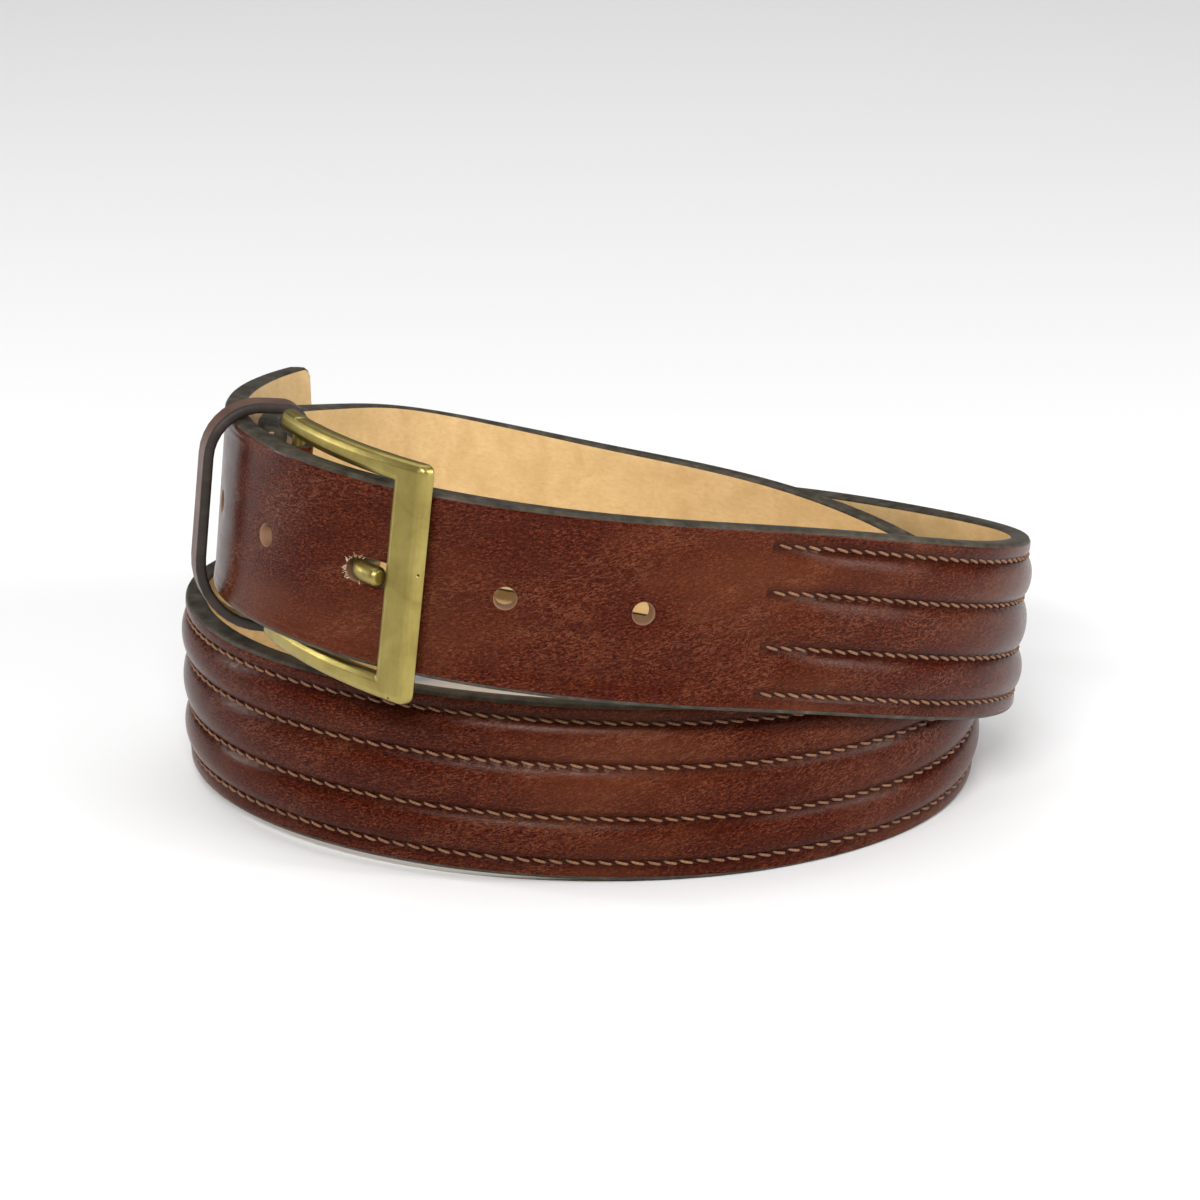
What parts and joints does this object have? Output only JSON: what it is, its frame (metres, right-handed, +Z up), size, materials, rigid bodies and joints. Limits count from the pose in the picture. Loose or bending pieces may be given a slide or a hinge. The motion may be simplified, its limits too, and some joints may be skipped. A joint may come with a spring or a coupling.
{
  "type": "leather belt",
  "caption": "Stitched brown leather dress belt with a brass prong buckle and a loose keeper, buckled and coiled in two turns.",
  "frame": {"origin": "centre of the bounding box, on the surface that the coiled belt stands on", "axes": "+Z up, -Y to the front where the buckle shows, +X to the right seen from the front"},
  "size_m": [0.1706, 0.1509, 0.0895],
  "materials": {
    "face_leather": "polished, mottled reddish dark brown with fine grain",
    "core_leather": "raw reinforcement",
    "lining_leather": "natural tan, matt",
    "padding": "soft filler strip",
    "thread": "waxed tan thread",
    "keeper_leather": "semi-matt brown with dark painted edges",
    "brass": "brushed antique brass"
  },
  "bodies": {
    "strap": {"strap_face": "face_leather", "strap_core": "core_leather", "strap_lining": "lining_leather", "ridge_pad_upper": "padding", "ridge_pad_middle": "padding", "ridge_pad_lower": "padding", "seam_thread_1": "thread", "seam_thread_2": "thread", "seam_thread_3": "thread", "seam_thread_4": "thread", "turned_end": "face_leather", "turned_end_stitches": "thread"},
    "buckle": {"buckle_frame": "brass", "heel_bar": "brass"},
    "prong": {"prong": "brass"},
    "keeper": {"keeper_loop": "keeper_leather", "keeper_staple": "brass"}
  },
  "joints": [
    {"name": "buckle_swing", "type": "hinge", "parent": "strap", "child": "buckle", "pos_m": [-0.05909, -0.04303, 0.06671], "axis": [-0.1034, -0.0821, -0.9913], "range_deg": [0, 75]},
    {"name": "prong_swing", "type": "hinge", "parent": "strap", "child": "prong", "pos_m": [-0.05909, -0.04303, 0.06671], "axis": [-0.1034, -0.0821, -0.9913], "range_deg": [0, 1]},
    {"name": "keeper_slide", "type": "hinge", "parent": "strap", "child": "keeper", "pos_m": [-0.01873, -0.01575, 0.06036], "axis": [0.0941, 0.1166, 0.9887], "range_deg": [-2.5, 2.5]}
  ]
}
